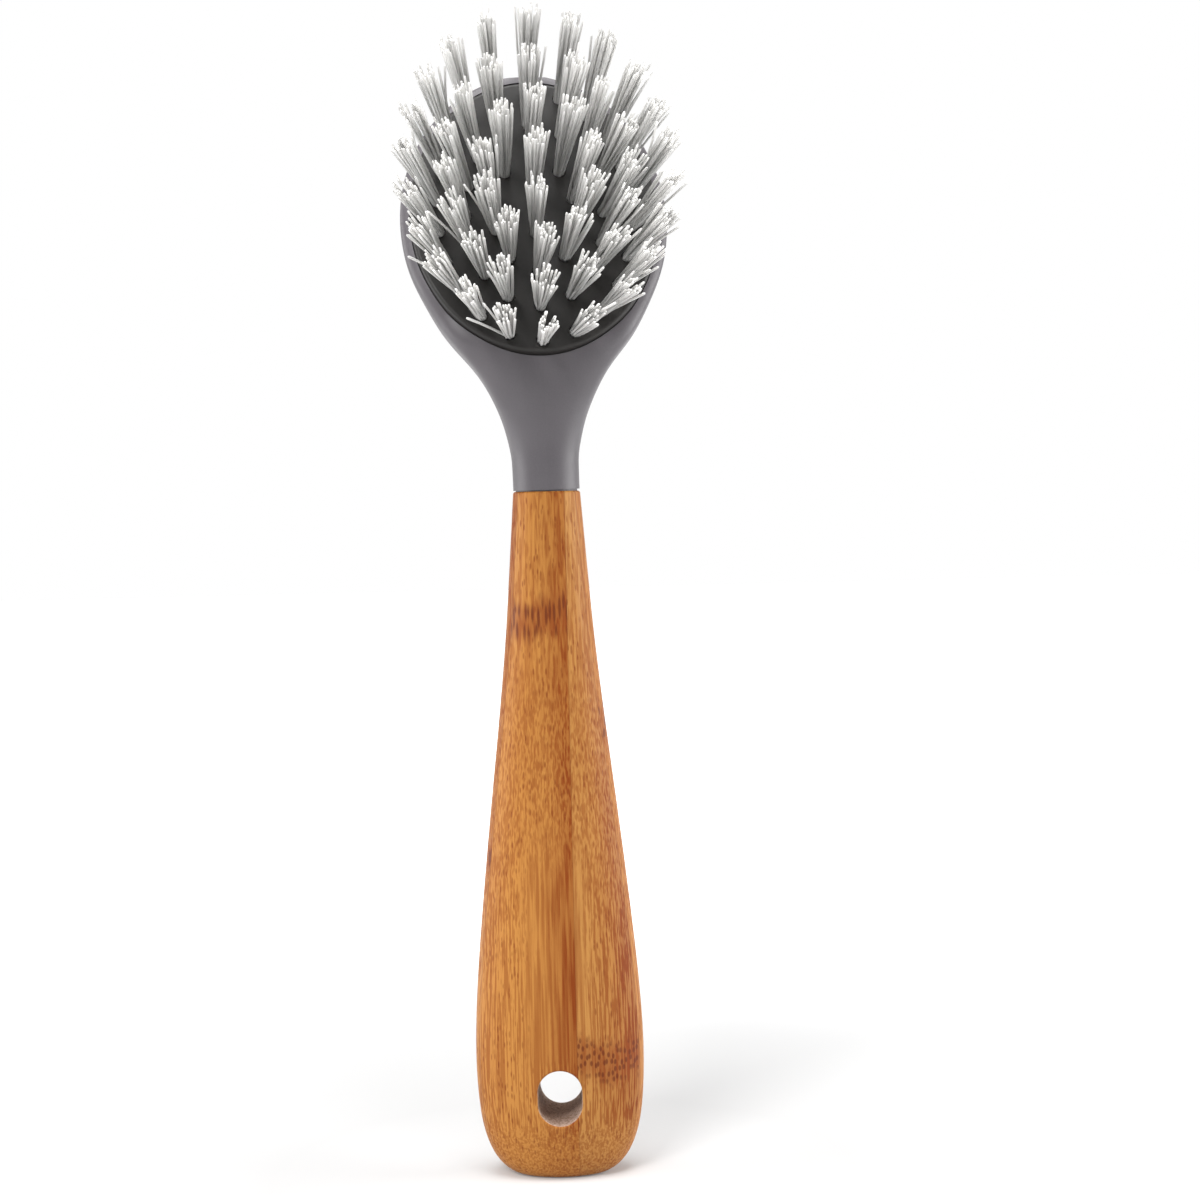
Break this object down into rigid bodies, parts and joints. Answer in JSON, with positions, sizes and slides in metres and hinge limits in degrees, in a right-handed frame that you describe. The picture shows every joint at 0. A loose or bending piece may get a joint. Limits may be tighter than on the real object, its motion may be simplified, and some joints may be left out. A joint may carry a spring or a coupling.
{
  "type": "dish brush",
  "caption": "Upright dish brush with a laminated bamboo handle, a hanging slot and a leaning plastic head of fanned bristle tufts.",
  "frame": {"origin": "middle of the small flat on the end of the handle", "axes": "+Z along the handle towards the head, -Y the way the bristles face, +X to the right seen from the bristles"},
  "size_m": [0.0584, 0.053, 0.2398],
  "materials": {
    "bamboo": "oiled, satin",
    "frame_plastic": "fine matte grain",
    "block_plastic": "matte",
    "bristle_nylon": "satin strands",
    "anchor_wire": "drawn flat wire"
  },
  "bodies": {
    "root": {"bristle_block": "block_plastic", "handle_strip_back_left": "bamboo", "handle_strip_back_right": "bamboo", "handle_strip_core_left": "bamboo", "handle_strip_core_right": "bamboo", "handle_strip_front_left": "bamboo", "handle_strip_front_right": "bamboo", "head_frame": "frame_plastic", "tuft_anchors": "anchor_wire", "tuft_centre_01": "bristle_nylon", "tuft_centre_02": "bristle_nylon", "tuft_inner_01": "bristle_nylon", "tuft_inner_02": "bristle_nylon", "tuft_inner_03": "bristle_nylon", "tuft_inner_04": "bristle_nylon", "tuft_inner_05": "bristle_nylon", "tuft_inner_06": "bristle_nylon", "tuft_inner_07": "bristle_nylon", "tuft_inner_08": "bristle_nylon", "tuft_inner_09": "bristle_nylon", "tuft_inner_10": "bristle_nylon", "tuft_middle_01": "bristle_nylon", "tuft_middle_02": "bristle_nylon", "tuft_middle_03": "bristle_nylon", "tuft_middle_04": "bristle_nylon", "tuft_middle_05": "bristle_nylon", "tuft_middle_06": "bristle_nylon", "tuft_middle_07": "bristle_nylon", "tuft_middle_08": "bristle_nylon", "tuft_middle_09": "bristle_nylon", "tuft_middle_10": "bristle_nylon", "tuft_middle_11": "bristle_nylon", "tuft_middle_12": "bristle_nylon", "tuft_middle_13": "bristle_nylon", "tuft_middle_14": "bristle_nylon", "tuft_middle_15": "bristle_nylon", "tuft_middle_16": "bristle_nylon", "tuft_outer_01": "bristle_nylon", "tuft_outer_02": "bristle_nylon", "tuft_outer_03": "bristle_nylon", "tuft_outer_04": "bristle_nylon", "tuft_outer_05": "bristle_nylon", "tuft_outer_06": "bristle_nylon", "tuft_outer_07": "bristle_nylon", "tuft_outer_08": "bristle_nylon", "tuft_outer_09": "bristle_nylon", "tuft_outer_10": "bristle_nylon", "tuft_outer_11": "bristle_nylon", "tuft_outer_12": "bristle_nylon", "tuft_outer_13": "bristle_nylon", "tuft_outer_14": "bristle_nylon", "tuft_outer_15": "bristle_nylon", "tuft_outer_16": "bristle_nylon", "tuft_outer_17": "bristle_nylon", "tuft_outer_18": "bristle_nylon", "tuft_outer_19": "bristle_nylon", "tuft_outer_20": "bristle_nylon", "tuft_outer_21": "bristle_nylon", "tuft_outer_22": "bristle_nylon"}
  },
  "joints": []
}
